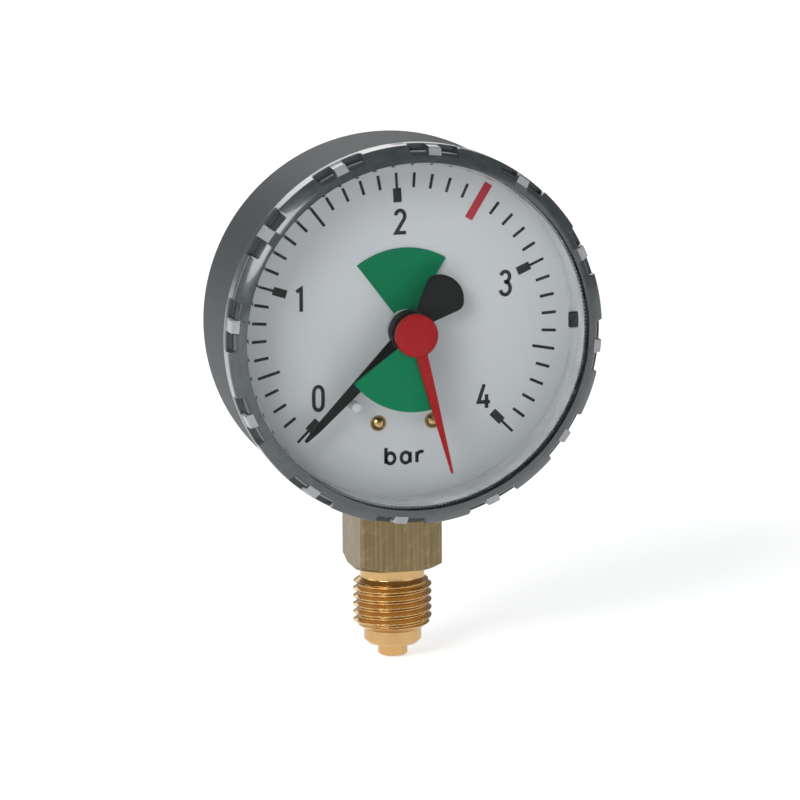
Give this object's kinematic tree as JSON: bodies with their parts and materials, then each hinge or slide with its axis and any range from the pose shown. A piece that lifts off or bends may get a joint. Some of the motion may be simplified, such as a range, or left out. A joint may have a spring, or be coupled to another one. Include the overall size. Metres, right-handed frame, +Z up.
{
  "type": "pressure gauge",
  "caption": "Round Bourdon tube pressure gauge with bottom threaded stem, clear push-fit window, adjustable red mark pointer and two turnable range plates.",
  "frame": {"origin": "tip of the centring spigot, on the stem's axis", "axes": "+Z up the stem towards the dial, -Y is the way the dial faces, +X is to the right of someone reading it"},
  "size_m": [0.0628, 0.0303, 0.0884],
  "materials": {
    "case_black": "fine moulded texture",
    "window_clear": "clear moulded plastic",
    "plug_rubber": "matt",
    "zinc_steel": "zinc plated",
    "stem_brass": "turned and drawn",
    "tube_bronze": "drawn, soldered ends",
    "movement_brass": "stamped",
    "spring_bronze": "rolled strip",
    "dial_white": "white with black print",
    "ring_light": "moulded",
    "pointer_black": "matt black",
    "range_green": "thin moulded plate",
    "mark_red": "moulded"
  },
  "bodies": {
    "housing": {"case": "case_black", "relief_plug": "plug_rubber", "case_screws": "zinc_steel", "socket": "stem_brass", "throttle_screw": "stem_brass", "bourdon_tube": "tube_bronze", "hairspring": "spring_bronze", "hairspring_stud": "movement_brass", "front_plate": "movement_brass", "back_plate": "movement_brass", "pillars": "movement_brass", "plate_screws": "zinc_steel", "movement_screws": "zinc_steel", "dial": "dial_white", "dial_screws": "stem_brass", "range_ring": "ring_light"},
    "pointer_set": {"pointer": "pointer_black", "pinion_arbor": "zinc_steel", "hairspring_collet": "movement_brass"},
    "sector_set": {"sector_gear": "movement_brass", "sector_arbor": "zinc_steel", "tail_pin": "zinc_steel"},
    "link": {"link": "movement_brass"},
    "tip": {"tube_tip": "movement_brass", "tip_pin": "zinc_steel"},
    "rear_range_plate": {"range_plate_rear": "range_green"},
    "window_cap": {"window": "window_clear"},
    "mark": {"mark_pointer": "mark_red"},
    "front_range_plate": {"range_plate_front": "range_green"}
  },
  "joints": [
    {"name": "pointer_turn", "type": "hinge", "parent": "housing", "child": "pointer_set", "pos_m": [0, 0, 0.057], "axis": [0, 1, 0], "range_deg": [0, 270], "deforming": ["hairspring"]},
    {"name": "sector_swing", "type": "hinge", "parent": "housing", "child": "sector_set", "pos_m": [0, 0, 0.044], "axis": [0, 1, 0], "range_deg": [-22.5, 0]},
    {"name": "link_turn", "type": "hinge", "parent": "sector_set", "child": "link", "pos_m": [0.00389, 0, 0.03759], "axis": [0, 1, 0], "range_deg": [0, 21.38]},
    {"name": "tip_travel", "type": "hinge", "parent": "housing", "child": "tip", "pos_m": [-0.00065, 0, 0.06069], "axis": [0, 1, 0], "range_deg": [-8.35, 0], "deforming": ["bourdon_tube"]},
    {"name": "rear_range_turn", "type": "hinge", "parent": "housing", "child": "rear_range_plate", "pos_m": [0, 0, 0.057], "axis": [0, 1, 0], "continuous": true},
    {"name": "window_pull", "type": "slide", "parent": "housing", "child": "window_cap", "axis": [0, -1, 0], "range_m": [0, 0.015]},
    {"name": "mark_turn", "type": "hinge", "parent": "window_cap", "child": "mark", "pos_m": [0, 0, 0.057], "axis": [0, 1, 0], "continuous": true},
    {"name": "front_range_turn", "type": "hinge", "parent": "mark", "child": "front_range_plate", "pos_m": [0, 0, 0.057], "axis": [0, 1, 0], "continuous": true}
  ],
  "couplings": [
    {"joint": "sector_swing", "follows": "pointer_turn", "ratio": -0.083333},
    {"joint": "link_turn", "follows": "pointer_turn", "ratio": 0.079167},
    {"joint": "tip_travel", "follows": "pointer_turn", "ratio": -0.030926}
  ]
}
